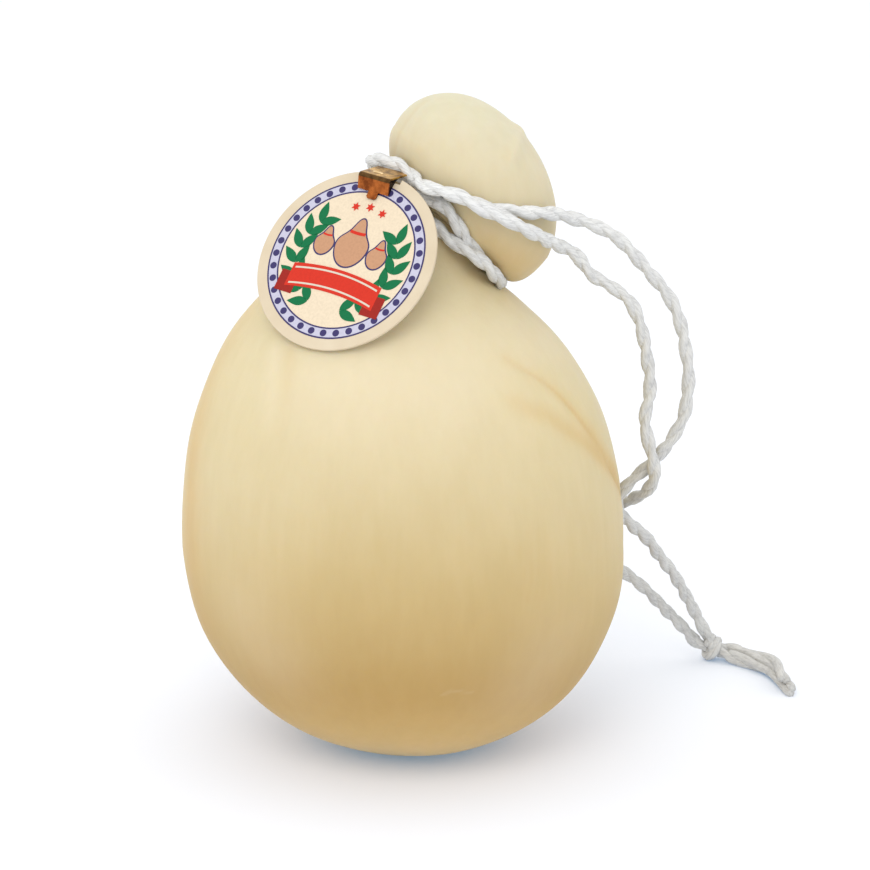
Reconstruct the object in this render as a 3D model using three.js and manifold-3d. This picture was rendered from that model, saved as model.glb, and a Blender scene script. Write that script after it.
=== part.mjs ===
// Caciocavallo: a pear-shaped stretched-curd cheese whose head was folded over to one side.
// A doubled white twine goes round its neck. A brass clip on the twine holds a round card tag.
// The twine's two free ends come down beside the cheese to one knot and two short tails.
// Millimetres, +Z up. The front faces -Y, and the origin is on the table under the belly.
import * as THREE from 'three';
import { mergeVertices } from 'three/addons/utils/BufferGeometryUtils.js';
import Module from 'manifold-3d';

// Body: rounded foot, widest ring, shoulders that run up into the neck
const BELLY_RADIUS = 73;
const BELLY_HEIGHT = 68;
const BELLY_POWER = 2.1; // 2 is an ellipse, more is fuller
const FOOT_RADIUS = 20; // flat spot under the belly
const FOOT_SHIFT = 3; // to the right of the belly's axis
const SHOULDER_RISE_RIGHT = 75; // how long each side stays upright above the widest ring
const SHOULDER_RISE_LEFT = 84;
const NECK_RUN_RIGHT = 9.5; // how long each side follows the neck before the twine
const NECK_RUN_LEFT = 45.5;

// Neck and head
const NECK_CENTRE = new THREE.Vector3(13, 0, 174.1);
const NECK_RADIUS_LEFT = 23;
const NECK_RADIUS_RIGHT = 19.8; // the twine bites deeper on the side that the head leans to
const HEAD_SIDE_LEAN = 41.5; // degrees, to the right
const HEAD_BACK_LEAN = 10; // degrees, to the back
const HEAD_RADIUS = 32.3;
const HEAD_BULGE_AT = 14; // along the head's axis, from the twine to the widest ring
const HEAD_HEIGHT = 39.7; // along the head's axis, from the twine to the crown
const CROWN_DRIFT = 0.23; // share of the rise by which the crown falls back to the left
const WAIST_POWER_LEFT = 1.5; // over 1 keeps the waist narrow for longer above the twine
const WAIST_POWER_RIGHT = 0.18; // under 1 lets the head bulge out straight above the twine
const WAIST_LIFT_RIGHT = 2.2; // height above the twine's level at which that bulge starts

// Facets of the body
const SEGMENTS = 80;
const LOWER_RINGS = 17;
const UPPER_RINGS = 26;
const HEAD_WAIST_RINGS = 7;
const HEAD_CROWN_RINGS = 9;
const FOOT_CROWDING = 1.6; // over 1 sets the rings closer near the foot
const NECK_CROWDING = 1.3; // over 1 sets the rings closer below the twine
const WAIST_CROWDING = 1.6; // over 1 sets the rings closer above the twine

// Creases and ridges in the skin: height out of the skin, half width, and the line they follow
const CREASES = [
  {
    height: -0.5,
    width: 3.5,
    line: [[-34, -44.4, 141.5], [-34.7, -50.7, 131.6], [-36.5, -55, 120]],
  },
  {
    height: 0.4,
    width: 3.5,
    line: [[-38.6, -41.2, 140.8], [-39.6, -47.8, 130.3], [-41.6, -51.8, 118.6]],
  },
  {
    height: -0.9,
    width: 2.6,
    line: [
      [32.2, -42.8, 139.3], [43.3, -38.1, 131.7], [53.1, -33, 121.6], [62.6, -25.1, 107.7],
      [67.8, -17.3, 97.8],
    ],
  },
  {
    height: -0.7,
    width: 2.6,
    line: [[35.2, -49.9, 127], [45.3, -43.8, 121.4], [56.2, -35.4, 111.8], [67.8, -17.9, 97.3]],
  },
  {
    height: 1,
    width: 2.6,
    line: [[34.7, -21.9, 198.7], [37.1, -12.3, 203.7], [38.6, 1.9, 205.8]],
  },
  {
    height: -0.5,
    width: 3,
    line: [[7.5, -3.1, 215], [2.2, -6.9, 210], [-1.3, -7.5, 203], [-2.4, -4.8, 196]],
  },
];

// Card tag, leaning on the shoulder under the clip. Its own axes: x across, y up, z out of its face
const TAG_RADIUS = 30.4;
const TAG_THICKNESS = 1;
const TAG_CENTRE = new THREE.Vector3(-16.8, -35.6, 168.6);
const TAG_TURN = -27.4; // degrees, its face turned to the left
const TAG_LEAN = 34.2; // degrees, its top leaning back
const TAG_ROLL = -10.4; // degrees, its top leaning to the right
const TAG_NOTCH_TOP = 28.2; // the rim is cut straight at this height under the clip
const TAG_NOTCH_LEFT = -7.9;
const TAG_NOTCH_RIGHT = 6;
const TAG_SEGMENTS = 32; // to each half turn of the rim

// Brass clip: a front plate tilted out from the tag's face, a roof that goes back over the rim,
// and a tongue that hangs from the plate down the card
const CLIP_SHEET = 0.6;
const CLIP_SEAT = new THREE.Vector3(-7.1, 23.4, 1.1); // lower left corner of the plate in the tag's axes
const CLIP_TILT = 40; // degrees, the plate's top standing out from the tag's face
const CLIP_WIDTH = 11.6;
const CLIP_HEIGHT = 5.3;
const CLIP_ROOF_DEPTH = 9.7;
const CLIP_ROOF_PITCH = 2.5; // degrees, the roof's back edge dropped
const TONGUE_LEFT = -2.9; // the tongue is in the tag's axes
const TONGUE_RIGHT = 0.7;
const TONGUE_BOTTOM = 20.9;
const TONGUE_TOP = 23.8;

// Twine
const TWINE_RADIUS = 1.9;
const TWINE_SIDES = 8;
const TWINE_JOIN_GAP = 0.4; // between a neck turn and the strand that goes on from it
const NECK_STEPS = 40;
const STRAND_STEPS = 44;
const TAIL_STEPS = 8;

// Neck turns: degrees round the neck from its right side, height along the head's axis, distance from it
const UPPER_TURN = [
  [250, 2.2, 28.9], [257, 2.7, 29.4], [265, 2.3, 29.3], [275, 0.9, 28.1], [285, -0.2, 26.7],
  [301, -0.7, 25], [325, -0.9, 23.6], [345, -0.2, 22.6], [360, 0.1, 22.5], [380, -0.2, 22.8],
  [405, -0.4, 23.2], [430, -0.5, 23.8], [450, -0.5, 24.1], [480, -0.5, 24.8], [505, -0.2, 25.8],
  [525, 0.1, 27.6], [540, 0.2, 30], [552, 0.5, 31.5], [563, 2.3, 31.2], [571, 3.7, 30.2],
  [580, 4.2, 29.8], [590.3, 3.9, 29.5], [596.9, 3.6, 31.5],
];
const LOWER_TURN = [
  [250, -3.6, 24.7], [264.6, -3.6, 24.4], [275.8, -4.3, 24.6], [285.7, -4.6, 26.2],
  [295.9, -4.6, 27.5], [306.4, -4.3, 29], [317, -3.5, 29.9], [328, -2.3, 29.7], [338, -1.2, 28.3],
  [350, -0.1, 27], [362, 0.1, 26.8], [378, 0, 27], [395, -0.8, 28.2], [412, -2.3, 27.9],
  [430, -3.9, 26.6], [450, -4.8, 24.9], [480, -4.9, 25.2], [510, -4.7, 25.4], [535, -4.2, 25.5],
  [555, -3.4, 25.5],
];

// Free strands down to the knot: the inner one from beside the clip, the outer one from behind it
const OUTER_STRAND = [
  [13.4, -29.6, 188.8], [16.2, -30.4, 188.2], [19.1, -31.2, 187.3], [22.3, -31.8, 186],
  [26, -32, 184.7], [30.1, -31.5, 183.6], [35.1, -30, 182.9], [39.5, -27.2, 182.1],
  [43.4, -24.2, 181.5], [47.3, -20.2, 180.7], [52.3, -14.5, 178.8], [57.7, -10.5, 176.7],
  [63.3, -8, 174.2], [69, -5.5, 170.6], [74.5, -3, 164.9], [79.3, -1, 159.2], [84.2, 1, 153.5],
  [87.9, 2.5, 148], [90.6, 4, 141.7], [92.4, 5.5, 134.9], [93.7, 7, 127.9], [94.6, 9, 121.3],
  [94.2, 10.5, 116.5], [93, 12.5, 108], [88, 14.5, 98.4], [81.2, 16.8, 89.2], [75, 19.3, 82.1],
  [72.3, 22, 76], [73.7, 25.7, 70.2], [78.6, 31.5, 64], [84.8, 39, 57], [90, 46, 48.5],
  [95, 52, 41], [99.6, 58.5, 32.4], [103.6, 64, 24.5], [107, 68.5, 17.3], [110.8, 73, 9.8],
];
const INNER_STRAND = [
  [7.2, -29.2, 190.8], [9.2, -31.8, 190.4], [11.5, -33.3, 190.1], [15.4, -34.8, 189.2],
  [18.9, -35.8, 188.1], [21.9, -36.3, 186.5], [25.5, -36.4, 184.6], [29.6, -35.9, 182.6],
  [33.8, -34.8, 180.5], [38.7, -32, 177.6], [43.5, -27, 174.5], [48.1, -19.3, 171],
  [51.2, -14.8, 169.1], [53.9, -12, 167.3], [56.1, -10.3, 165.4], [57.9, -9, 162.9],
  [59.5, -8, 160.4], [61.6, -7, 158.3], [64.2, -6, 156.6], [67.4, -4.8, 154.6],
  [70.7, -3.4, 152.1], [74.2, -2, 148.4], [76.7, -0.5, 143.1], [78.5, 1, 137.5], [79.9, 3, 130.9],
  [81.1, 5, 124.2], [81.8, 7, 117.7], [80.4, 8, 107], [82.3, 9, 99.8], [85, 10.5, 92.5],
  [86, 14, 85.7], [84, 20.5, 79.3], [79, 28.5, 74.2], [74, 36, 70.3], [69.7, 41, 66],
  [67.5, 44, 59.5], [69.6, 47, 51.4], [75, 51, 43.6], [80.4, 54.5, 38.3], [85.5, 58, 33.3],
  [91.5, 63, 26], [97.6, 68, 18.6], [103, 71.8, 12], [107.2, 73.8, 6.8],
];

// Knot on the table, and two tails: one lies on the table, the other climbs over it from behind
const KNOT_CENTRE = new THREE.Vector3(112.9, 74.4, 4.7);
const KNOT_RADII = [5, 4.6, 4.4];
const KNOT_SEGMENTS = 16;
const KNOT_RINGS = 12;
const TAIL_NEAR = [
  [118.6, 70.4, 3], [122.7, 66.8, 2.5], [127.5, 61.4, 2.2], [132.2, 55, 2.1], [135, 44.6, 2.1],
  [136.7, 34.8, 2.1],
];
const TAIL_FAR = [
  [118.9, 74.8, 4.6], [125, 70, 4.9], [129.4, 63.2, 5.7], [133.1, 55.4, 6.2], [134.4, 44.5, 6.3],
  [134.6, 38.5, 6],
];

const radians = THREE.MathUtils.degToRad;
const vector = ([x, y, z]) => new THREE.Vector3(x, y, z);

// The head's axis and the two directions across the neck
const sideLean = radians(HEAD_SIDE_LEAN);
const backLean = radians(HEAD_BACK_LEAN);
const UP = new THREE.Vector3(0, 0, 1);
const BACK = new THREE.Vector3(0, 1, 0);
const headAxis = new THREE.Vector3(
  Math.sin(sideLean) * Math.cos(backLean),
  Math.sin(backLean),
  Math.cos(sideLean) * Math.cos(backLean),
);
const neckRight = new THREE.Vector3(Math.cos(sideLean), 0, -Math.sin(sideLean));
const neckBack = headAxis.clone().cross(neckRight);

// Level rings from the foot, f = 0, to the widest ring, f = 1
function lowerRing(f) {
  const fullDepth = BELLY_HEIGHT / (1 - (FOOT_RADIUS / BELLY_RADIUS) ** BELLY_POWER) ** (1 / BELLY_POWER);
  const height = BELLY_HEIGHT * f ** FOOT_CROWDING;
  const below = (BELLY_HEIGHT - height) / fullDepth;
  return {
    centre: new THREE.Vector3(FOOT_SHIFT * (1 - height / BELLY_HEIGHT), 0, height),
    right: new THREE.Vector3(1, 0, 0),
    back: BACK,
    radius: BELLY_RADIUS * (1 - below ** BELLY_POWER) ** (1 / BELLY_POWER),
  };
}

// One side of the shoulders, from the widest ring up into the neck
function shoulder(side, rise, run, neckRadius) {
  const start = new THREE.Vector3(side * BELLY_RADIUS, 0, BELLY_HEIGHT);
  const end = NECK_CENTRE.clone().addScaledVector(neckRight, side * neckRadius);
  return new THREE.CubicBezierCurve3(
    start,
    start.clone().addScaledVector(UP, rise),
    end.clone().addScaledVector(headAxis, -run),
    end,
  );
}

const rightShoulder = shoulder(1, SHOULDER_RISE_RIGHT, NECK_RUN_RIGHT, NECK_RADIUS_RIGHT);
const leftShoulder = shoulder(-1, SHOULDER_RISE_LEFT, NECK_RUN_LEFT, NECK_RADIUS_LEFT);

// Rings that tip over with the neck, from the widest ring, t = 0, to the twine, t = 1
function upperRing(t) {
  const rightPoint = rightShoulder.getPoint(t);
  const leftPoint = leftShoulder.getPoint(t);
  const right = rightPoint.clone().sub(leftPoint).normalize();
  const back = BACK.clone().lerp(neckBack, THREE.MathUtils.smoothstep(t, 0, 1)).normalize();
  back.addScaledVector(right, -back.dot(right)).normalize();
  return {
    centre: rightPoint.clone().add(leftPoint).multiplyScalar(0.5),
    right,
    back,
    radius: rightPoint.distanceTo(leftPoint) / 2,
  };
}

// Rings of the head, at a height along its axis above the twine and a shift across it to the right
function headRing(height, radius, shift) {
  return {
    centre: NECK_CENTRE.clone().addScaledVector(headAxis, height).addScaledVector(neckRight, shift),
    right: neckRight,
    back: neckBack,
    radius,
  };
}

// Reach of one side of the head from its axis, from the twine to the widest ring
function waistReach(height, lift, neckRadius, power) {
  const share = Math.max(0, height - lift) / (HEAD_BULGE_AT - lift);
  return neckRadius + (HEAD_RADIUS - neckRadius) * Math.sin((Math.PI / 2) * share) ** power;
}

function headWaistRing(f) {
  const height = HEAD_BULGE_AT * f ** WAIST_CROWDING;
  const left = waistReach(height, 0, NECK_RADIUS_LEFT, WAIST_POWER_LEFT);
  const right = waistReach(height, WAIST_LIFT_RIGHT, NECK_RADIUS_RIGHT, WAIST_POWER_RIGHT);
  return headRing(height, (right + left) / 2, (right - left) / 2);
}

// The crown falls back to the left as it closes
function headCrownRing(f) {
  const angle = (Math.PI / 2) * f;
  const rise = (HEAD_HEIGHT - HEAD_BULGE_AT) * Math.sin(angle);
  return headRing(HEAD_BULGE_AT + rise, HEAD_RADIUS * Math.cos(angle), -CROWN_DRIFT * rise);
}

function cheeseRings() {
  const rings = [];
  for (let i = 0; i <= LOWER_RINGS; i += 1) {
    rings.push(lowerRing(i / LOWER_RINGS));
  }
  for (let i = 1; i <= UPPER_RINGS; i += 1) {
    rings.push(upperRing(1 - (1 - i / UPPER_RINGS) ** NECK_CROWDING));
  }
  for (let i = 1; i <= HEAD_WAIST_RINGS; i += 1) {
    rings.push(headWaistRing(i / HEAD_WAIST_RINGS));
  }
  for (let i = 1; i < HEAD_CROWN_RINGS; i += 1) {
    rings.push(headCrownRing(i / HEAD_CROWN_RINGS));
  }
  return rings;
}

// A closed skin over a stack of rings, with a fan of triangles at each end
function loft(rings, bottom, top) {
  const points = [];
  for (const ring of rings) {
    for (let i = 0; i < SEGMENTS; i += 1) {
      const angle = (2 * Math.PI * i) / SEGMENTS;
      const point = ring.centre.clone();
      point.addScaledVector(ring.right, ring.radius * Math.cos(angle));
      point.addScaledVector(ring.back, ring.radius * Math.sin(angle));
      points.push(point);
    }
  }
  const bottomIndex = points.push(bottom) - 1;
  const topIndex = points.push(top) - 1;
  const faces = [];
  for (let i = 0; i < SEGMENTS; i += 1) {
    const next = (i + 1) % SEGMENTS;
    for (let r = 0; r + 1 < rings.length; r += 1) {
      const low = r * SEGMENTS;
      const high = low + SEGMENTS;
      faces.push(low + i, low + next, high + next);
      faces.push(low + i, high + next, high + i);
    }
    const last = (rings.length - 1) * SEGMENTS;
    faces.push(bottomIndex, next, i);
    faces.push(topIndex, last + i, last + next);
  }
  const geometry = new THREE.BufferGeometry().setFromPoints(points);
  geometry.setIndex(faces);
  return geometry;
}

const creases = CREASES.map(({ height, width, line }) => ({
  height,
  width,
  lines: line.slice(1).map((point, i) => new THREE.Line3(vector(line[i]), vector(point))),
}));

// Height of the creases and ridges over the plain skin at a point
function relief(point) {
  const nearest = new THREE.Vector3();
  let total = 0;
  for (const { height, width, lines } of creases) {
    const distances = lines.map((line) => line.closestPointToPoint(point, true, nearest).distanceTo(point));
    total += height * Math.exp(-((Math.min(...distances) / width) ** 2));
  }
  return total;
}

function cheeseGeometry() {
  const foot = new THREE.Vector3(FOOT_SHIFT, 0, 0);
  const crown = headCrownRing(1).centre;
  const geometry = loft(cheeseRings(), foot, crown);
  geometry.computeVertexNormals();
  const { position, normal } = geometry.attributes;
  const point = new THREE.Vector3();
  const outward = new THREE.Vector3();
  for (let i = 0; i < position.count; i += 1) {
    point.fromBufferAttribute(position, i);
    outward.fromBufferAttribute(normal, i);
    point.addScaledVector(outward, relief(point));
    position.setXYZ(i, point.x, point.y, point.z);
  }
  geometry.computeVertexNormals();
  return geometry;
}

// A disc with its rim cut straight where the clip's roof passes over it
function tagGeometry() {
  const rightAngle = Math.acos(TAG_NOTCH_RIGHT / TAG_RADIUS);
  const leftAngle = Math.acos(TAG_NOTCH_LEFT / TAG_RADIUS);
  const shape = new THREE.Shape();
  shape.moveTo(TAG_NOTCH_LEFT, TAG_NOTCH_TOP);
  shape.lineTo(TAG_NOTCH_RIGHT, TAG_NOTCH_TOP);
  shape.lineTo(TAG_NOTCH_RIGHT, TAG_RADIUS * Math.sin(rightAngle));
  shape.absarc(0, 0, TAG_RADIUS, rightAngle, leftAngle - 2 * Math.PI, true);
  shape.closePath();
  const geometry = new THREE.ExtrudeGeometry(shape, {
    depth: TAG_THICKNESS,
    bevelEnabled: false,
    curveSegments: TAG_SEGMENTS,
  });
  return geometry.translate(0, 0, -TAG_THICKNESS / 2);
}

// The clip's plate and roof, from the plate's lower left corner: x across, y up, z out of the plate
function clipPlate() {
  return new THREE.BoxGeometry(CLIP_WIDTH, CLIP_HEIGHT, CLIP_SHEET)
    .translate(CLIP_WIDTH / 2, CLIP_HEIGHT / 2, 0);
}

function clipRoof() {
  return new THREE.BoxGeometry(CLIP_WIDTH, CLIP_SHEET, CLIP_ROOF_DEPTH)
    .translate(CLIP_WIDTH / 2, -CLIP_SHEET / 2, -CLIP_ROOF_DEPTH / 2)
    .rotateX(-radians(CLIP_ROOF_PITCH))
    .translate(0, CLIP_HEIGHT, CLIP_SHEET / 2);
}

// The clip's tongue in the tag's axes
function clipTongue() {
  return new THREE.BoxGeometry(TONGUE_RIGHT - TONGUE_LEFT, TONGUE_TOP - TONGUE_BOTTOM, CLIP_SHEET)
    .translate((TONGUE_LEFT + TONGUE_RIGHT) / 2, (TONGUE_BOTTOM + TONGUE_TOP) / 2, CLIP_SEAT.z);
}

const wasm = await Module();
wasm.setup();

function toSolid(geometry) {
  const bare = geometry.clone();
  bare.deleteAttribute('normal');
  bare.deleteAttribute('uv');
  const merged = mergeVertices(bare);
  return new wasm.Manifold(new wasm.Mesh({
    numProp: 3,
    vertProperties: new Float32Array(merged.attributes.position.array),
    triVerts: new Uint32Array(merged.index.array),
  }));
}

function toGeometry(solid) {
  const { vertProperties, triVerts } = solid.getMesh();
  const geometry = new THREE.BufferGeometry();
  geometry.setAttribute('position', new THREE.BufferAttribute(vertProperties, 3));
  geometry.setIndex(new THREE.BufferAttribute(triVerts, 1));
  geometry.computeVertexNormals();
  return geometry;
}

function clipGeometry() {
  const seat = new THREE.Matrix4().makeRotationX(radians(CLIP_TILT)).setPosition(CLIP_SEAT);
  const folded = toSolid(clipPlate()).add(toSolid(clipRoof()));
  return toGeometry(toSolid(toGeometry(folded).applyMatrix4(seat)).add(toSolid(clipTongue())));
}

// Part of a longer curve
class Stretch extends THREE.Curve {
  constructor(whole, from, to) {
    super();
    this.whole = whole;
    this.from = from;
    this.to = to;
  }

  getPoint(t, target = new THREE.Vector3()) {
    return this.whole.getPoint(THREE.MathUtils.lerp(this.from, this.to, t), target);
  }
}

function smoothCurve(points) {
  return new THREE.CatmullRomCurve3(points, false, 'centripetal');
}

function twineTube(curve, steps) {
  const section = [];
  for (let i = 0; i < TWINE_SIDES; i += 1) {
    const angle = (2 * Math.PI * i) / TWINE_SIDES;
    section.push(new THREE.Vector2(TWINE_RADIUS * Math.cos(angle), TWINE_RADIUS * Math.sin(angle)));
  }
  return new THREE.ExtrudeGeometry(new THREE.Shape(section), { steps, extrudePath: curve });
}

function neckPoint([degrees, height, distance]) {
  const angle = radians(degrees);
  const point = NECK_CENTRE.clone().addScaledVector(headAxis, height);
  point.addScaledVector(neckRight, distance * Math.cos(angle));
  return point.addScaledVector(neckBack, distance * Math.sin(angle));
}

// The upper neck turn and the inner strand lie on one curve, parted by a small gap
function turnAndStrand(turn, strand) {
  const points = [...turn.map(neckPoint), ...strand.map(vector)];
  const whole = smoothCurve(points);
  const spans = points.length - 1;
  const join = turn.length - 1;
  const gap = TWINE_JOIN_GAP / points[join].distanceTo(points[join + 1]);
  return {
    turn: twineTube(new Stretch(whole, 0, join / spans), NECK_STEPS),
    strand: twineTube(new Stretch(whole, (join + gap) / spans, 1), STRAND_STEPS),
  };
}

const cheeseMaterial = new THREE.MeshStandardMaterial({ color: 0xead9ae, roughness: 0.42 });
const cardMaterial = new THREE.MeshStandardMaterial({ color: 0xf8e8cb, roughness: 0.55 });
const brassMaterial = new THREE.MeshStandardMaterial({ color: 0xb08244, roughness: 0.35, metalness: 1 });
const twineMaterial = new THREE.MeshStandardMaterial({ color: 0xe2e0da, roughness: 0.9 });

function piece(name, geometry, material) {
  const mesh = new THREE.Mesh(geometry, material.clone());
  mesh.name = name;
  return mesh;
}

const upper = turnAndStrand(UPPER_TURN, INNER_STRAND);
const lowerTurn = twineTube(smoothCurve(LOWER_TURN.map(neckPoint)), NECK_STEPS);
const outerStrand = twineTube(smoothCurve(OUTER_STRAND.map(vector)), STRAND_STEPS);
const nearTail = twineTube(smoothCurve(TAIL_NEAR.map(vector)), TAIL_STEPS);
const farTail = twineTube(smoothCurve(TAIL_FAR.map(vector)), TAIL_STEPS);

const knot = piece('knot', new THREE.SphereGeometry(1, KNOT_SEGMENTS, KNOT_RINGS), twineMaterial);
knot.position.copy(KNOT_CENTRE);
knot.scale.set(...KNOT_RADII);

const tagRoll = new THREE.Group();
tagRoll.rotation.z = radians(TAG_ROLL);
tagRoll.add(piece('tag', tagGeometry(), cardMaterial), piece('clip', clipGeometry(), brassMaterial));
const tagSeat = new THREE.Group();
tagSeat.position.copy(TAG_CENTRE);
tagSeat.rotation.set(radians(90 - TAG_LEAN), 0, radians(TAG_TURN), 'ZXY');
tagSeat.add(tagRoll);

const group = new THREE.Group();
group.add(
  piece('cheese', cheeseGeometry(), cheeseMaterial),
  tagSeat,
  piece('neck_turn_upper', upper.turn, twineMaterial),
  piece('neck_turn_lower', lowerTurn, twineMaterial),
  piece('strand_outer', outerStrand, twineMaterial),
  piece('strand_inner', upper.strand, twineMaterial),
  knot,
  piece('tail_near', nearTail, twineMaterial),
  piece('tail_far', farTail, twineMaterial),
);

export default group;
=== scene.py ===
"""Looks of the caciocavallo: rind, printed card tag, brass clip and two-ply twine.

Metres, +Z up. The front faces -Y, as in the solids that this scene dresses. Lines and paths are
written in millimetres.
"""
import math

import bpy
import numpy as np
from mathutils import Matrix, Vector


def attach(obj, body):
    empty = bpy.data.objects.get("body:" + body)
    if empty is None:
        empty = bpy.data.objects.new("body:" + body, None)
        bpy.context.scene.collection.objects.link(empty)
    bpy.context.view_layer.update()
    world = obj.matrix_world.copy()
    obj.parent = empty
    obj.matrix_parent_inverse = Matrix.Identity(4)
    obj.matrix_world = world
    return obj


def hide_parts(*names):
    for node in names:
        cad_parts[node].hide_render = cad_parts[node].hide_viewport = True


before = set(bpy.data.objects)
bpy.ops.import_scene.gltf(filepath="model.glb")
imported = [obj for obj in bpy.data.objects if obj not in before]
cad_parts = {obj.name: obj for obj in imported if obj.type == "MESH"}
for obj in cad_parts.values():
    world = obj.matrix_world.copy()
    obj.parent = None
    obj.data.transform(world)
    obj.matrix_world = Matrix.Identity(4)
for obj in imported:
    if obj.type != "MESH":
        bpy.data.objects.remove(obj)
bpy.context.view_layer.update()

SEED = 7
MM = 0.001


def metres(points):
    """Points given in millimetres, in metres."""
    return np.array(points, float) * MM


# Camera
CAMERA_TARGET = Vector((0.0106, 0.0, 0.1041))
CAMERA_DISTANCE = 0.79629
CAMERA_ELEVATION = math.radians(14)
CAMERA_LENS = 100
CAMERA_SENSOR = 36
CAMERA_NEAR = 0.01
CAMERA_FAR = 100

# Light
WORLD_STRENGTH = 1.13
KEY_PLACE = (-0.25, -1.12, 1.10)
KEY_TARGET = (0.0, 0.0, 0.1)
KEY_SIZE = 0.8
KEY_POWER = 6.0
FLOOR_REACH = 12.0
# The floor's warm tone and bluish glow: the glow is painted light, white in full light and grey-blue in
# shadow
FLOOR_COLOUR = (0.835, 0.805, 0.775)
FLOOR_PAINTED_GLOW = (0.05, 0.112, 0.20)
FLOOR_ROUGHNESS = 0.9

# Body
BELLY_RADIUS = 0.073
BELLY_HEIGHT = 0.068
BELLY_POWER = 2.1
FOOT_RADIUS = 0.020
FOOT_SHIFT = 0.003
# Shoulders: rise from the widest ring and run into the neck
SHOULDER_RIGHT = (0.075, 0.0095)
SHOULDER_LEFT = (0.084, 0.0455)

# Neck and head
NECK_CENTRE = np.array((0.013, 0.0, 0.1741))
NECK_RADIUS_LEFT = 0.023
NECK_RADIUS_RIGHT = 0.0198
HEAD_SIDE_LEAN = math.radians(41.5)
HEAD_BACK_LEAN = math.radians(10)
HEAD_RADIUS = 0.0323
HEAD_BULGE_AT = 0.014
HEAD_HEIGHT = 0.0397
CROWN_DRIFT = 0.23
WAIST_POWER_LEFT = 1.5
WAIST_POWER_RIGHT = 0.18

# Mesh of the rind
RIND_SEGMENTS = 320
LOWER_RINGS = 90
UPPER_RINGS = 120
HEAD_WAIST_RINGS = 44
HEAD_CROWN_RINGS = 40
FOOT_CROWDING = 1.6
NECK_CROWDING = 1.3
WAIST_CROWDING = 1.6

# Lines on the skin, millimetres
FOLD_VALLEY = [(-34, -44.4, 141.5), (-34.7, -50.7, 131.6), (-36.5, -55, 120)]
FOLD_RIDGE = [(-38.6, -41.2, 140.8), (-39.6, -47.8, 130.3), (-41.6, -51.8, 118.6)]
UPPER_GROOVE = [
    (32.2, -42.8, 139.3), (37.6, -41.2, 135.6), (43.3, -38.1, 131.7), (47.8, -35.8, 127.5),
    (53.1, -33, 121.6), (57.7, -30, 115.2), (62.6, -25.1, 107.7), (67.8, -17.3, 97.8), (71.2, -7.5, 88.5),
    (72.5, 3.5, 80),
]
LOWER_GROOVE = [
    (35.2, -49.9, 127), (39.9, -47.7, 124.2), (45.3, -43.8, 121.4), (50.9, -40.3, 116.5),
    (56.2, -35.4, 111.8), (62.5, -28, 104.5), (67.8, -17.9, 97.3), (71.2, -7.8, 88.2), (72.5, 3.2, 79.8),
]
HEAD_LIP = [(34.7, -21.9, 198.7), (37.1, -12.3, 203.7), (38.6, 1.9, 205.8)]
HEAD_FOLD = [(7.5, -3.1, 215), (2.2, -6.9, 210), (-1.3, -7.5, 203), (-2.4, -4.8, 196)]
LEFT_EDGE = [
    (-66, -27, 52), (-69, -24.5, 72), (-68.9, -22.5, 90), (-65.7, -18, 105), (-59, -13, 128),
    (-44.7, -8.5, 152),
]
LEFT_SIDE = [(-68, 22, 52), (-69, 24, 85), (-58, 22, 125)]
HEAD_UNDERSIDE = [(25.5, -26, 169), (35.5, -20, 165.6), (42, -8, 165)]
HEAD_DROOP = [(30, -12, 160), (38, -4, 157)]
LOW_LEFT = [(-46, -53, 58), (-42, -56, 46)]
LOW_RIGHT = [(46, -52, 48), (42, -54, 36)]
RIGHT_SHOULDER = [(40, -30, 143), (47, -20, 138)]
UPPER_FRONT = [(-20, -52, 134), (12, -52, 134)]
NECK_HOLLOW = [
    (29.7, 0.3, 162), (26.8, -13.9, 167.9), (16.7, -19.8, 178.2), (5.1, -13.9, 187.1), (-1, 0.3, 189.2),
]
SCRATCH = [(13.4, -65.5, 37.4), (15.9, -65.7, 38.9), (19, -64.5, 38), (22.4, -63.2, 37.4)]
STRIATIONS = [
    [(39.1, -60.2, 88.4), (40.1, -60.6, 78), (41.5, -60, 66.5)],
    [(42, -58.2, 89.1), (43, -58.5, 78.9), (43.7, -58.4, 67.3)],
    [(44.8, -55.8, 90), (45.5, -56.5, 80), (46, -56.6, 68.6)],
    [(36.3, -62.5, 84), (38, -62.2, 75.2), (39.3, -61.5, 66.3)],
]
# Creases and ridges in millimetres: heights out of the skin at even shares of a line, half width, line
CREASES = [
    ((-0.3, -0.2), 3.2, FOLD_VALLEY),
    ((0.3, 0.1), 3.2, FOLD_RIDGE),
    ((-0.2, -0.4, -0.6, -0.6, 0), 2.4, UPPER_GROOVE),
    ((-0.1, -0.3, -0.5, -0.5, 0), 2.6, LOWER_GROOVE),
    ((1,), 2.6, HEAD_LIP),
    ((0.9,), 8, HEAD_DROOP),
    ((-0.4,), 3, HEAD_FOLD),
    ((-0.1, -0.15, -0.2, -0.2, 0), 0.8, UPPER_GROOVE),
    ((0.12, 0.06), 0.5, SCRATCH),
    *[((-0.04, -0.08), 0.6, line) for line in STRIATIONS],
]
# Painted shade, darker along lines: in the grooves, striations, folds and neck hollow, under the head,
# and at the left edge and side; strengths at even shares of a line, half width in millimetres, line
PAINTED_SHADE_LINES = [
    ((0.25, 0.5, 0.75, 0.8, 0.0), 1, UPPER_GROOVE),
    ((0.2, 0.4, 0.6, 0.6, 0.0), 3.6, UPPER_GROOVE),
    ((0.45, 0.65, 0.85, 0.85, 0.0), 3.2, LOWER_GROOVE),
    ((0.7,), 12, NECK_HOLLOW),
    ((0.5, 0.9, 1.0, 0.7, 0.5), 12, LEFT_EDGE),
    ((0.3, 0.45, 0.2), 30, LEFT_SIDE),
    ((0.6,), 9, HEAD_UNDERSIDE),
    ((0.35, 0.1), 2.6, FOLD_VALLEY),
    ((0.3,), 1.6, HEAD_FOLD),
    *[((0.1, 0.2), 0.8, line) for line in STRIATIONS],
]
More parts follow.
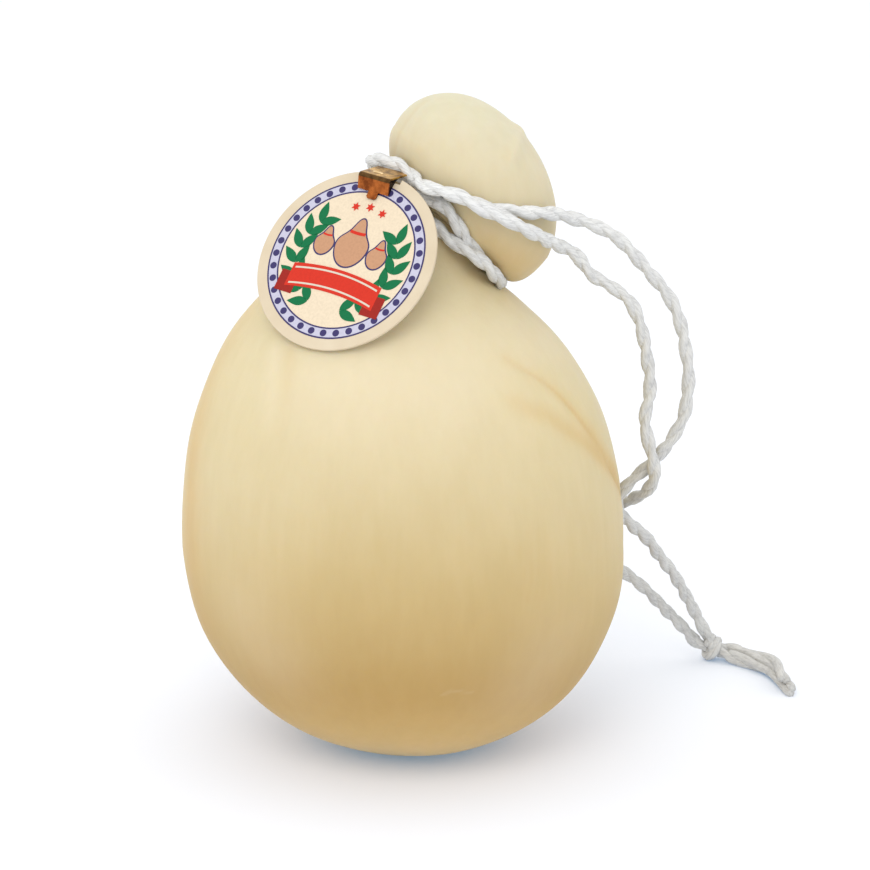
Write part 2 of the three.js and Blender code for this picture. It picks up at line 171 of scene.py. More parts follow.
# Paler colour, in the same way: a real pale scratch, and painted light elsewhere: painted highlight on
# the fold's ridge, under the tag and on the right shoulder, and painted floor light low on both sides
SCRATCH_AND_PAINTED_LIGHT = [
    ((0.4, 0.2), 0.5, SCRATCH),
    ((0.5, 0.1), 2.6, FOLD_RIDGE),
    ((0.9,), 22, UPPER_FRONT),
    ((0.4,), 18, LOW_LEFT),
    ((0.4,), 18, LOW_RIGHT),
    ((0.5,), 12, RIGHT_SHOULDER),
]
UNEVEN_HEIGHT = 0.000055
UNEVEN_WAVES = 14
UNEVEN_PITCH = (90, 260)
FOOT_SMOOTHING = 0.006

# Colours; the rind's tones go by height, and the paler ones reach lower at the sides. These tones are
# partly the rind's own, warmer low down, and partly painted light: painted shade darkening the lower
# belly, most in the middle, painted light from the floor paling the foot, and a paler lit top
WHITE = (1.0, 1.0, 1.0)
NOISE_RANGE = (0.3, 0.7)
RIND_TOP = 0.216
PAINTED_SHADE_SIDE_LIFT = 3.4
RIND_AND_PAINTED_LIGHT_TONES = [
    (0.0, (0.70, 0.555, 0.33)), (0.03, (0.66, 0.49, 0.255)), (0.08, (0.61, 0.425, 0.185)),
    (0.16, (0.46, 0.30, 0.112)), (0.24, (0.475, 0.33, 0.137)), (0.37, (0.56, 0.435, 0.22)),
    (0.50, (0.63, 0.535, 0.34)), (0.68, (0.655, 0.565, 0.345)), (0.94, (0.61, 0.54, 0.39)),
    (1.0, (0.64, 0.61, 0.45)),
]
RIND_BLOTCH = (0.95, 0.94, 0.90)
RIND_FIBRE = (0.96, 0.95, 0.92)
PAINTED_SHADE_TONE = (0.93, 0.70, 0.40)
SCRATCH_AND_LIGHT_TONE = (0.86, 0.78, 0.68)
BLOTCH_SHARE = 0.8
FIBRE_SHARE = 0.7
FIBRE_RELIEF = 0.7
PAINTED_SHADE_SHARE = 0.55
SCRATCH_AND_LIGHT_SHARE = 0.25
CARD_TONES = ((0.58, 0.48, 0.335), (0.635, 0.54, 0.395))
TWINE_TONES = ((0.54, 0.54, 0.53), (0.76, 0.76, 0.745))
TWINE_CLOUDS = ((0.88, 0.88, 0.89), (1.0, 1.0, 0.985))
TWINE_GREYING_TONE = (0.74, 0.735, 0.72)
CLOUD_SHARE = 0.8
# Brass in lit and shaded copies: painted reflection in front, lit gold on the roof, painted shade at the
# bend, a painted highlight on the rib, and near-black painted shadow inside
BRASS_TONES = {
    "brass_front_painted_reflection": ((0.19, 0.048, 0.012), (0.47, 0.136, 0.031)),
    "brass": ((0.18, 0.085, 0.017), (0.68, 0.38, 0.07)),
    "brass_bend_shadow_tone": ((0.07, 0.036, 0.014), (0.16, 0.085, 0.03)),
    "brass_painted_highlight": ((0.72, 0.48, 0.20), (0.94, 0.80, 0.55)),
    "painted_shadow_sheet": ((0.010, 0.007, 0.004), (0.035, 0.02, 0.009)),
}
INK_TONES = {
    "cream": (0.72, 0.605, 0.445),
    "lilac": (0.50, 0.49, 0.60),
    "violet": (0.045, 0.037, 0.125),
    "green": (0.003, 0.145, 0.05),
    "tan": (0.50, 0.27, 0.155),
    "dark_red": (0.30, 0.016, 0.01),
    "red": (0.58, 0.03, 0.014),
    "pale": (0.62, 0.56, 0.46),
}
INK_SHADE = 0.92

# Tag, in its own axes: x across, y up, z out of its face
TAG_RADIUS = 0.0304
TAG_THICKNESS = 0.001
TAG_CENTRE = Vector((-0.0168, -0.0356, 0.1686))
TAG_TURN = math.radians(-27.4)
TAG_LEAN = math.radians(34.2)
TAG_ROLL = math.radians(-10.4)
TAG_NOTCH_TOP = 0.0282
TAG_NOTCH_LEFT = -0.0079
TAG_NOTCH_RIGHT = 0.006
TAG_SEGMENTS = 160
TAG_EDGE = 0.00018
INK_HEIGHT = 0.00003

# Print on the tag, millimetres in its axes
FIELD_RADIUS = 23.2
BORDER_RADIUS = 26.6
BORDER_LINES = [(23.0, 23.5), (26.3, 26.8)]
BORDER_SEGMENTS = 120
BEAD_COUNT = 36
BEAD_RING = 24.9
BEAD_RADIUS = 1.15
BEAD_SEGMENTS = 16
LEAF_PAIRS = 7
LEAF_RING = 17.3
LEAF_START = 20
LEAF_STEP = 17
LEAF_LENGTH = 7.4
LEAF_WIDTH = 3.1
LEAF_STALK = 0.2
LEAF_LEAN = 0.6
LEAF_BULGE = 0.8
LEAF_POINTS = 12
# Small cheeses: middle, foot and height; their ties by share of the height
PEARS = [(0.0, -2.4, 16.5), (-9.9, -0.6, 9.6), (9.9, -0.6, 9.6)]
PEAR_LINE = 0.5
PEAR_HALF_WIDTH = 0.36
PEAR_HEAD = 0.42
PEAR_NECK_AT = 0.62
PEAR_NECK_SLOPE = 16
PEAR_POINTS = 60
TIE_HALF_WIDTH = 0.17
TIE_LOW = 0.68
TIE_HIGH = 0.74
TIE_ARCH = -0.2
# Ribbon: left, right, low and high
RIBBON = (-16.5, 16.5, -13.6, -5.6)
RIBBON_TAILS = [(-19.5, -13.0, -15.6, -8.6), (13.0, 19.5, -15.6, -8.6)]
RIBBON_STRIPES = [(-15.5, 15.5, -12.6, -12.0), (-15.5, 15.5, -7.2, -6.6)]
RIBBON_ARCH = 1.8
BAND_POINTS = 24
STARS = [(0.0, 18.4), (-5.0, 17.4), (5.0, 17.4)]
STAR_RADIUS = 1.5
STAR_RAYS = 6
STAR_HOLLOW = 0.5

# Clip: plate and roof from the plate's lower left corner, tongue in the tag's axes
CLIP_SHEET = 0.0006
CLIP_SEAT = np.array((-0.0071, 0.0234, 0.0011))
CLIP_TILT = math.radians(40)
CLIP_WIDTH = 0.0116
CLIP_HEIGHT = 0.0053
CLIP_ROOF_DEPTH = 0.011
CLIP_ROOF_PITCH = math.radians(2.5)
CLIP_BEND = 0.0009
CLIP_EDGE = 0.00012
CLIP_STATIONS = 9
PLATE_ROWS = 3
BEND_ROWS = 6
ROOF_ROWS = (0.3, 0.65, 1.0)
RIB_MIDDLE = 0.0046
RIB_HALF_LENGTH = 0.0021
RIB_HALF_WIDTH = 0.0005
RIB_RISE = 0.0004
RIB_SINK = 0.0001
RIB_SIDES = 9
RIB_STATIONS = 13
RIB_END = 0.02
# A near-black sheet in the clip's right end, painted shadow: inset, lift and depth
SHADE_SHEET_INSET = 0.0004
SHADE_SHEET_LIFT = 0.0003
SHADE_SHEET_DEPTH = 0.0060
# Tongue: left, right, low and high
TONGUE = (-0.0029, 0.0007, 0.0209, 0.0238)
TONGUE_CORNER = 0.0006

# Twine: two plies round each other, their lumps and wander by length along it
TWINE_DIAMETER = 0.0038
TWINE_LAY = 0.019
PLY_OFFSET = 0.00076
PLY_RADIUS = 0.00150
PLY_SIDES = 20
PLY_YARNS = 6
YARN_HEIGHT = 0.06
YARN_TURN = 0.8
TWINE_STEP = 0.0006
TWINE_LUMPS = 0.09
LUMP_LENGTH = 0.007
SPREAD_LENGTH = 0.009
TWIST_WANDER = 0.5
WANDER_LENGTH = 0.016
TAIL_LAY = 0.070
TAIL_OFFSET = 0.0010
TAIL_PHASE = 0.9
ROUND_END = 0.12
CUT_END = 0.75
SPAN_POINTS = 24
STEEP = 0.9

# Twine greyer towards the table by height, and painted shade in the neck by degrees round it, height and
# reach
GREYING_HEIGHTS = (0.0, 0.05, 0.15, 0.185)
GREYING_LEVELS = (0.55, 0.5, 0.3, 0.0)
NECK_PAINTED_SHADE = 0.3
NECK_SHADE_FROM = 268
NECK_SHADE_TOP = 0.0018
NECK_SHADE_REACH = 0.036

# Neck turns: degrees round the neck from its right side, height along the head's axis, distance from it
UPPER_TURN = [
    (250, 2.2, 28.9), (257, 2.7, 29.4), (265, 2.3, 29.3), (275, 0.9, 28.1), (285, -0.2, 26.7),
    (301, -1, 25), (325, -1.4, 23.6), (345, -1, 22.7), (360, -0.7, 22.5), (380, -0.8, 22.8),
    (405, -0.7, 23.2), (430, -0.5, 23.8), (450, -0.5, 24.1), (480, -0.5, 24.8), (505, -0.2, 25.8),
    (525, 0.1, 27.6), (540, 0.2, 30), (552, 0.5, 31.5), (563, 2.3, 31.2), (571, 3.7, 30.2),
    (580, 4.2, 29.8), (590.3, 3.9, 29.5), (596.9, 3.6, 31.5),
]
LOWER_TURN = [
    (250, -3.6, 24.7), (264.6, -3.4, 24.9), (275.8, -3.5, 26.2), (285.7, -2.9, 28.3), (295.9, -2.2, 29.4),
    (306.4, -2.1, 29.9), (317, -2.5, 29.6), (328, -2.7, 28.6), (338, -2.5, 27.2), (350, -2.2, 25.7),
    (362, -2.1, 25.2), (378, -2.2, 25.7), (395, -2.7, 27), (412, -3.2, 27.7), (430, -3.9, 26.6),
    (450, -4.8, 24.9), (480, -4.9, 25.2), (510, -4.7, 25.4), (535, -4.2, 25.5), (555, -3.4, 25.5),
]
# Hidden stretches: from the lower turn to the outer strand, and the bend behind the tag
LEAD_TURN = [(560, -1.4, 26.6), (567, 0.7, 27.9), (575, 1.7, 28), (587, 2.7, 27.7), (601, 4.1, 29.3)]
BIGHT_TURN = [(243, 1, 28), (236.5, -1.2, 26.4), (240, -3.2, 25)]
BIGHT_PHASE = 0.6

# Free strands down to the knot
OUTER_STRAND = metres([
    (13.4, -29.6, 188.8), (16.2, -30.4, 188.2), (19.1, -31.2, 187.3), (22.3, -31.8, 186),
    (26, -32, 184.7), (30.1, -31.5, 183.6), (35.1, -30, 182.9), (39.5, -27.2, 182.1),
    (43.4, -24.2, 181.5), (47.3, -20.2, 180.7), (52.3, -14.5, 178.8), (57.7, -10.5, 176.7),
    (63.3, -8, 174.2), (69, -5.5, 170.6), (74.5, -3, 164.9), (79.3, -1, 159.2), (84.2, 1, 153.5),
    (87.9, 2.5, 148), (90.6, 4, 141.7), (92.4, 5.5, 134.9), (93.7, 7, 127.9), (94.6, 9, 121.3),
    (94.5, 10.5, 116.5), (93.8, 12.5, 108), (89.6, 14.5, 98.4), (82.6, 16.8, 89.2), (76, 19.3, 82.1),
    (72.8, 22, 76), (73.8, 25.7, 70.4), (78.7, 31.5, 64.1), (84.8, 39, 57), (90, 46, 48.5), (95, 52, 41),
    (99.6, 58.5, 32.4), (103.6, 64, 24.5), (107, 68.5, 17.3), (110.8, 73, 9.8),
])
INNER_STRAND = metres([
    (7.2, -29.2, 190.8), (9.2, -31.8, 190.4), (11.5, -33.3, 190.1), (15.4, -34.8, 189.2),
    (18.9, -35.8, 188.1), (21.9, -36.3, 186.5), (25.5, -36.4, 184.6), (29.6, -35.9, 182.6),
    (33.8, -34.8, 180.5), (38.7, -32, 177.6), (43.5, -27, 174.5), (48.1, -19.3, 171),
    (51.2, -14.8, 169.1), (53.9, -12, 167.3), (56.1, -10.3, 165.4), (57.9, -9, 162.9), (59.5, -8, 160.4),
    (61.6, -7, 158.3), (64.2, -6, 156.6), (67.4, -4.8, 154.6), (70.7, -3.4, 152.1), (74.2, -2, 148.4),
    (76.7, -0.5, 143.1), (78.5, 1, 137.5), (79.9, 3, 130.9), (81.1, 5, 124.2), (81.8, 7, 117.7),
    (80.3, 8, 107), (81.8, 9, 99.8), (83.5, 10.5, 92.8), (84.3, 14, 86), (82.6, 20.5, 79.6),
    (78.3, 28.5, 74.3), (73.7, 36, 70.4), (69.7, 41, 66), (67.5, 44, 59.5), (69.6, 47, 51.4),
    (75, 51, 43.6), (80.4, 54.5, 38.3), (85.5, 58, 33.3), (91.5, 63, 26), (97.6, 68, 18.6),
    (103, 71.8, 12), (107.2, 73.8, 6.8),
])

# Knot and tails
KNOT_CENTRE = np.array((0.1129, 0.0744, 0.0047))
KNOT_WRAP_RADIUS = 0.0027
KNOT_WRAPS = 1.7
KNOT_LENGTH = 0.0040
KNOT_CORE_OFFSET = 0.0004
KNOT_POINTS = 90
KNOT_PHASE = 0.3
TAIL_NEAR = metres([
    (118.6, 70.4, 3), (122.7, 66.8, 2.5), (127.5, 61.4, 2.2), (132.2, 55, 2.1), (135, 44.6, 2.1),
    (136.7, 34.8, 2.1),
])
TAIL_FAR = metres([
    (118.9, 74.8, 4.2), (125, 70, 4.2), (129.4, 63.2, 4.8), (133.1, 55.4, 5.2), (134.4, 44.5, 5.3),
    (134.6, 38.5, 5),
])

UP = np.array((0.0, 0.0, 1.0))
BACK = np.array((0.0, 1.0, 0.0))
HEAD_AXIS = np.array((
    math.sin(HEAD_SIDE_LEAN) * math.cos(HEAD_BACK_LEAN),
    math.sin(HEAD_BACK_LEAN),
    math.cos(HEAD_SIDE_LEAN) * math.cos(HEAD_BACK_LEAN),
))
NECK_RIGHT = np.array((math.cos(HEAD_SIDE_LEAN), 0.0, -math.sin(HEAD_SIDE_LEAN)))
NECK_BACK = np.cross(HEAD_AXIS, NECK_RIGHT)


# Materials

class Graph:
    """The nodes of one material, linked as they are added."""

    def __init__(self, name):
        self.material = bpy.data.materials.new(name)
        self.material.use_nodes = True
        self.nodes = self.material.node_tree.nodes
        self.links = self.material.node_tree.links
        self.shader = self.nodes["Principled BSDF"]

    def feed(self, socket, value):
        """Fills a socket from another socket, a number, a vector or a colour."""
        if isinstance(value, bpy.types.NodeSocket):
            self.links.new(value, socket)
        elif socket.type == "RGBA":
            socket.default_value = (*value, 1.0)
        else:
            socket.default_value = value

    def add(self, kind, sockets, **settings):
        """The outputs of a new node, its sockets filled by name or number."""
        node = self.nodes.new(kind)
        for key, value in settings.items():
            setattr(node, key, value)
        for key, value in sockets.items():
            self.feed(node.inputs[key], value)
        return node.outputs

    def surface(self, sockets):
        """The finished material, with the shader's own sockets filled by name."""
        for name, value in sockets.items():
            self.feed(self.shader.inputs[name], value)
        return self.material

    def place(self, kind="Object"):
        """Coordinates over the surface."""
        return self.add("ShaderNodeTexCoord", {})[kind]

    def attribute(self, name):
        """A number stored on the mesh's vertices."""
        return self.add("ShaderNodeAttribute", {}, attribute_name=name)["Fac"]

    def calculate(self, operation, a, b):
        """Two values put together by a Math node."""
        return self.add("ShaderNodeMath", {0: a, 1: b}, operation=operation)["Value"]

    def mix(self, factor, a, b, blend="MIX"):
        """Two colours mixed."""
        sockets = {0: factor, 6: a, 7: b}
        return self.add("ShaderNodeMix", sockets, data_type="RGBA", blend_type=blend)[2]

    def ramp(self, factor, places, colours, blend="LINEAR"):
        """A colour ramp from the places and colours of its stops."""
        node = self.nodes.new("ShaderNodeValToRGB")
        node.color_ramp.interpolation = blend
        elements = node.color_ramp.elements
        while len(elements) < len(places):
            elements.new(1.0)
        for element, place, colour in zip(elements, places, colours):
            element.position = place
            element.color = (*colour, 1.0)
        self.feed(node.inputs["Fac"], factor)
        return node.outputs["Color"]

    def fit(self, value, source, target):
        """A value moved from one range to another and clamped there."""
        sockets = dict(enumerate((value, *source, *target)))
        return self.add("ShaderNodeMapRange", sockets)["Result"]

    def noise(self, vector, scale=1.0, detail=3.0, roughness=0.5):
        """A noise texture's value."""
        return self.add("ShaderNodeTexNoise", {
            "Vector": vector, "Scale": scale, "Detail": detail, "Roughness": roughness,
        })["Fac"]

    def stretch(self, vector, scale):
        """Coordinates scaled by axis."""
        return self.add("ShaderNodeVectorMath", {0: vector, 1: scale}, operation="MULTIPLY")["Vector"]

    def bump(self, height, strength, distance):
        """Fine relief on the shader's normal."""
        sockets = {"Height": height, "Strength": strength, "Distance": distance}
        self.feed(self.shader.inputs["Normal"], self.add("ShaderNodeBump", sockets)["Normal"])


def rind_material():
    """Waxy stretched curd, faint fibres along the pull: pale on top and warmer and darker low down,
    partly its own tone and partly painted light and shade, with painted shade and painted highlight along
    lines on the skin.
    """
    graph = Graph("rind")
    place = graph.place()
    axes = graph.add("ShaderNodeSeparateXYZ", {0: place})
    # Tone by height, paler reaching lower at the sides: the rind's own tone with painted shade low in the
    # middle and painted floor light at the foot
    beside = graph.calculate("MULTIPLY", axes["X"], axes["X"])
    height = graph.calculate("ADD", axes["Z"], graph.calculate("MULTIPLY", beside, PAINTED_SHADE_SIDE_LIFT))
    level = graph.fit(height, (0.0, RIND_TOP), (0.0, 1.0))
    tone = graph.ramp(level, *zip(*RIND_AND_PAINTED_LIGHT_TONES), "B_SPLINE")
    blotches = graph.noise(place, scale=28.0, detail=4.0)
    blotch_tone = graph.ramp(blotches, NOISE_RANGE, (RIND_BLOTCH, WHITE))
    tone = graph.mix(BLOTCH_SHARE, tone, blotch_tone, "MULTIPLY")
    pull = graph.stretch(place, (220.0, 220.0, 45.0))
    fibres = graph.noise(pull, detail=5.0, roughness=0.6)
    fibre_tone = graph.ramp(fibres, (0.35, 0.65), (RIND_FIBRE, WHITE))
    tone = graph.mix(FIBRE_SHARE, tone, fibre_tone, "MULTIPLY")
    # Painted shade along the grooves, folds, neck hollow, head's underside and left edge
    painted_shade = graph.calculate("MULTIPLY", graph.attribute("painted_shade"), PAINTED_SHADE_SHARE)
    tone = graph.mix(painted_shade, tone, PAINTED_SHADE_TONE, "MULTIPLY")
    # A real pale scratch, and painted highlight and painted floor light in patches
    scratch_and_painted_light = graph.calculate("MULTIPLY", graph.attribute("scratch_and_painted_light"), SCRATCH_AND_LIGHT_SHARE)
    tone = graph.mix(scratch_and_painted_light, tone, SCRATCH_AND_LIGHT_TONE)
    grain = graph.noise(place, scale=900.0, detail=4.0)
    relief = graph.calculate("ADD", graph.calculate("MULTIPLY", fibres, FIBRE_RELIEF), grain)
    graph.bump(relief, strength=0.12, distance=0.0004)
    return graph.surface({
        "Base Color": tone,
        "Roughness": graph.fit(blotches, NOISE_RANGE, (0.36, 0.5)),
        "Subsurface Weight": 0.35,
        "Subsurface Radius": (1.0, 0.62, 0.28),
        "Subsurface Scale": 0.006,
        "Specular IOR Level": 0.05,
    })


def card_material():
    """Cream coated card with a faint paper grain."""
    graph = Graph("card")
    place = graph.place()
    cloud = graph.noise(place, scale=90.0, detail=4.0)
    grain = graph.noise(place, scale=2500.0)
    graph.bump(grain, strength=0.08, distance=0.0001)
    return graph.surface({
        "Base Color": graph.ramp(cloud, NOISE_RANGE, CARD_TONES),
        "Roughness": graph.fit(grain, NOISE_RANGE, (0.42, 0.55)),
        "Specular IOR Level": 0.3,
    })


def ink_material(name):
    """A printed ink: one hue, slightly uneven over the paper grain."""
    graph = Graph("ink_" + name)
    speckle = graph.noise(graph.place(), scale=1400.0)
    colour = INK_TONES[name]
    darker = tuple(INK_SHADE * c for c in colour)
    return graph.surface({
        "Base Color": graph.ramp(speckle, (0.35, 0.6), (darker, colour)),
        "Roughness": graph.fit(speckle, NOISE_RANGE, (0.42, 0.56)),
        "Specular IOR Level": 0.15,
    })


def brass_material(name):
    """Pressed brass with brown tarnish in blotches and fine rolling lines."""
    graph = Graph(name)
    place = graph.place()
    tarnish = graph.noise(place, scale=330.0, detail=5.0, roughness=0.6)
    rolled = graph.stretch(place, (300.0, 300.0, 4000.0))
    graph.bump(graph.noise(rolled, detail=2.0), strength=0.15, distance=0.00008)
    return graph.surface({
        "Base Color": graph.ramp(tarnish, (0.38, 0.62), BRASS_TONES[name]),
        "Metallic": 1.0,
        "Roughness": graph.fit(tarnish, NOISE_RANGE, (0.40, 0.24)),
    })


def twine_material():
    """White twine: fibres that run along each ply, greyer towards the table, and painted shade in the
    neck.
    """
    graph = Graph("twine")
    run = graph.stretch(graph.place("UV"), (18.0, 1.1, 1.0))
    fibres = graph.noise(run, detail=4.0, roughness=0.65)
    cloud = graph.noise(graph.place(), scale=160.0)
    tone = graph.ramp(fibres, (0.32, 0.56), TWINE_TONES)
    cloud_tone = graph.ramp(cloud, NOISE_RANGE, TWINE_CLOUDS)
    tone = graph.mix(CLOUD_SHARE, tone, cloud_tone, "MULTIPLY")
    graph.bump(fibres, strength=0.6, distance=0.0003)
    return graph.surface({
        # Greyer towards the table, and painted shade in the neck
        "Base Color": graph.mix(graph.attribute("grey_low_and_neck_shade"), tone, TWINE_GREYING_TONE, "MULTIPLY"),
        "Roughness": 0.85,
        "Specular IOR Level": 0.25,
    })


# Mesh helpers

def unit(vectors):
    """Vectors scaled to length one, along the last axis."""
    return vectors / np.linalg.norm(vectors, axis=-1, keepdims=True)


def circle(count):
    """Even angles once round."""
    return 2 * np.pi * np.arange(count) / count


def polar(radius, angle):
    """Flat places at distances and angles from the middle."""
    return np.stack([radius * np.cos(angle), radius * np.sin(angle)], axis=-1)


def turned(angle, right, back):
    """Directions at angles from one axis towards another."""
    return np.cos(angle)[..., None] * right + np.sin(angle)[..., None] * back


def add_object(name, data):
    """A new object in the scene."""
    item = bpy.data.objects.new(name, data)
    bpy.context.scene.collection.objects.link(item)
    return item


def mesh_piece(name, vertices, faces, materials, smooth=True):
    """A mesh object that rides on the part."""
    mesh = bpy.data.meshes.new(name)
    mesh.from_pydata(vertices, [], faces, shade_flat=not smooth)
    mesh.update()
    for material in materials:
        mesh.materials.append(material)
    piece = add_object(name, mesh)
    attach(piece, "root")
    return piece


def store(piece, name, values):
    """Keeps a number for each vertex of a piece, for its material."""
    layer = piece.data.attributes.new(name, "FLOAT", "POINT")
    layer.data.foreach_set("value", values.astype(np.float32))


def round_edges(piece, width):
    """Small rounded edges on a piece with sharp ones."""
    edge = piece.modifiers.new("edge", "BEVEL")
    edge.width = width
    edge.segments = 2
    edge.limit_method = "ANGLE"


def joined(parts):
    """Several meshes as one: vertices, faces and whatever else goes with each vertex."""
    faces, count = [], 0
    for vertices, part_faces, *_ in parts:
        faces += [tuple(i + count for i in face) for face in part_faces]
        count += len(vertices)
    vertices, _, *others = zip(*parts)
    return np.concatenate(vertices), faces, *map(np.concatenate, others)


def ring_faces(rings, sides, closed=False):
    """Quads over a stack of closed rings of vertices, and from the last back to the first if closed."""
    ring, side = np.meshgrid(np.arange(rings if closed else rings - 1), np.arange(sides), indexing="ij")
    low, high, after = ring * sides, (ring + 1) % rings * sides, (side + 1) % sides
    quads = np.stack([low + side, low + after, high + after, high + side], axis=-1)
    return quads.reshape(-1, 4).tolist()


def domed_faces(rings, sides):
    """A stack of closed rings, and at each end a fan to one more vertex after the rings."""
    faces = ring_faces(rings, sides)
    first, last = rings * sides, (rings - 1) * sides
    for i in range(sides):
        after = (i + 1) % sides
        faces += [(first, after, i), (first + 1, last + i, last + after)]
    return faces


def capped_faces(rings, sides):
    """A stack of closed rings with a flat face at each end."""
    last = (rings - 1) * sides
    return [*ring_faces(rings, sides), range(sides - 1, -1, -1), range(last, last + sides)]


def smooth_line(points):
    """A smooth curve through points, without overshoot, as a dense polyline."""
    points = np.array(points, float)
    padded = [2 * points[0] - points[1], *points, 2 * points[-1] - points[-2]]
    share = np.linspace(0, 1, SPAN_POINTS, endpoint=False)[:, None]
    curve = []
    for p0, p1, p2, p3 in zip(padded, padded[1:], padded[2:], padded[3:]):
        d0, d1, d2 = (math.sqrt(np.linalg.norm(b - a)) for a, b in ((p0, p1), (p1, p2), (p2, p3)))
        m1 = ((p1 - p0) / d0 - (p2 - p0) / (d0 + d1) + (p2 - p1) / d1) * d1
        m2 = ((p2 - p1) / d1 - (p3 - p1) / (d1 + d2) + (p3 - p2) / d2) * d1
        square = (3 * (p2 - p1) - 2 * m1 - m2) * share**2
        cube = (2 * (p1 - p2) + m1 + m2) * share**3
        curve.append(p1 + m1 * share + square + cube)
    return np.vstack([*curve, points[-1:]])


def run_lengths(path):
    """Distance along a polyline to each of its points."""
    return np.concatenate([[0.0], np.cumsum(np.linalg.norm(np.diff(path, axis=0), axis=1))])


def even_path(path):
    """A polyline resampled at even steps."""
    run = run_lengths(path)
    places = np.linspace(0, run[-1], max(2, round(run[-1] / TWINE_STEP)) + 1)
    return np.stack([np.interp(places, run, path[:, k]) for k in range(3)], axis=1)


def path_frames(path):
    """Two directions across a polyline at each point, carried along without twist."""
    tangents = unit(np.gradient(path, axis=0))
    across = [unit(np.cross(tangents[0], UP if abs(tangents[0][2]) < STEEP else BACK))]
    for tangent in tangents[1:]:
        across.append(unit(across[-1] - tangent * np.dot(across[-1], tangent)))
    return np.array(across), np.cross(tangents, across)


def smooth_noise(rng, places, wavelength):
    """Smooth random values from -1 to 1 over places along a line."""
    count = int(places[-1] / wavelength) + 4
    values = rng.uniform(-1, 1, count)
    at = places / wavelength
    low = at.astype(int)
    share = at - low
    blend = share**2 * (3 - 2 * share)
    return values[low] * (1 - blend) + values[low + 1] * blend


# The cheese

def lower_rings():
    """Level rings from the foot to the widest ring: centres, directions and radii."""
    share = np.linspace(0, 1, LOWER_RINGS + 1)
    full_depth = BELLY_HEIGHT / (1 - (FOOT_RADIUS / BELLY_RADIUS) ** BELLY_POWER) ** (1 / BELLY_POWER)
    height = BELLY_HEIGHT * share**FOOT_CROWDING
    below = (BELLY_HEIGHT - height) / full_depth
    centre = np.stack([FOOT_SHIFT * (1 - height / BELLY_HEIGHT), 0 * height, height], axis=1)
    right = np.tile((1.0, 0.0, 0.0), (len(share), 1))
    back = np.tile(BACK, (len(share), 1))
    return centre, right, back, BELLY_RADIUS * (1 - below**BELLY_POWER) ** (1 / BELLY_POWER)


def shoulder(side, rise, run, neck_radius, share):
    """One side of the shoulders, a cubic curve from the widest ring up into the neck."""
    start = np.array((side * BELLY_RADIUS, 0.0, BELLY_HEIGHT))
    end = NECK_CENTRE + side * neck_radius * NECK_RIGHT
    handles = (start, start + rise * UP, end - run * HEAD_AXIS, end)
    weights = ((1 - share) ** 3, 3 * share * (1 - share) ** 2, 3 * share**2 * (1 - share), share**3)
    return sum(w[:, None] * handle for w, handle in zip(weights, handles))


def upper_rings():
    """Rings that tip over with the neck, from above the widest ring to the twine."""
    share = 1 - (1 - np.arange(1, UPPER_RINGS + 1) / UPPER_RINGS) ** NECK_CROWDING
    right_line = shoulder(1, *SHOULDER_RIGHT, NECK_RADIUS_RIGHT, share)
    left_line = shoulder(-1, *SHOULDER_LEFT, NECK_RADIUS_LEFT, share)
    right = unit(right_line - left_line)
    blend = (share**2 * (3 - 2 * share))[:, None]
    back = unit(BACK * (1 - blend) + NECK_BACK * blend)
    back = unit(back - right * np.sum(back * right, axis=1, keepdims=True))
    radius = np.linalg.norm(right_line - left_line, axis=1) / 2
    return (right_line + left_line) / 2, right, back, radius


def waist_reach(height, neck_radius, power):
    """Reach of one side of the head from its axis, from the twine to the widest ring."""
    share = height / HEAD_BULGE_AT
    return neck_radius + (HEAD_RADIUS - neck_radius) * np.sin(np.pi / 2 * share) ** power


def head_rings():
    """Rings of the head from above the twine to just under the crown."""
    waist = HEAD_BULGE_AT * (np.arange(1, HEAD_WAIST_RINGS + 1) / HEAD_WAIST_RINGS) ** WAIST_CROWDING
    left = waist_reach(waist, NECK_RADIUS_LEFT, WAIST_POWER_LEFT)
    right = waist_reach(waist, NECK_RADIUS_RIGHT, WAIST_POWER_RIGHT)
    crown = np.pi / 2 * np.arange(1, HEAD_CROWN_RINGS) / HEAD_CROWN_RINGS
    rise = (HEAD_HEIGHT - HEAD_BULGE_AT) * np.sin(crown)
    height = np.concatenate([waist, HEAD_BULGE_AT + rise])
    radius = np.concatenate([(left + right) / 2, HEAD_RADIUS * np.cos(crown)])
    shift = np.concatenate([(right - left) / 2, -CROWN_DRIFT * rise])
    across = np.tile(NECK_RIGHT, (len(height), 1))
    back = np.tile(NECK_BACK, (len(height), 1))
    return head_centres(height, shift), across, back, radius


def head_centres(height, shift):
    """Middle of the head at heights along its axis and shifts to the right of it."""
    return NECK_CENTRE + height[:, None] * HEAD_AXIS + shift[:, None] * NECK_RIGHT


def line_distance(points, line):
    """Distance from each point to a polyline, and how far along it the nearest place lies."""
    run = run_lengths(line)
    nearest = np.full(len(points), np.inf)
    share = np.zeros(len(points))
    for start, end, before, after in zip(line, line[1:], run, run[1:]):
        step = end - start
        along = np.clip((points - start) @ step / np.dot(step, step), 0, 1)
        gap = np.linalg.norm(points - start - along[:, None] * step, axis=1)
        share = np.where(gap < nearest, (before + along * (after - before)) / run[-1], share)
        nearest = np.minimum(gap, nearest)
    return nearest, share


def along_lines(points, lines):
    """Sum of soft strips along lines, each with its strengths at even shares and its half width."""
    total = np.zeros(len(points))
    for strengths, width, line in lines:
        gap, share = line_distance(points, metres(line))
        strength = np.interp(share, np.linspace(0, 1, len(strengths)), strengths)
        total += strength * np.exp(-((gap / (width * MM)) ** 2))
    return total


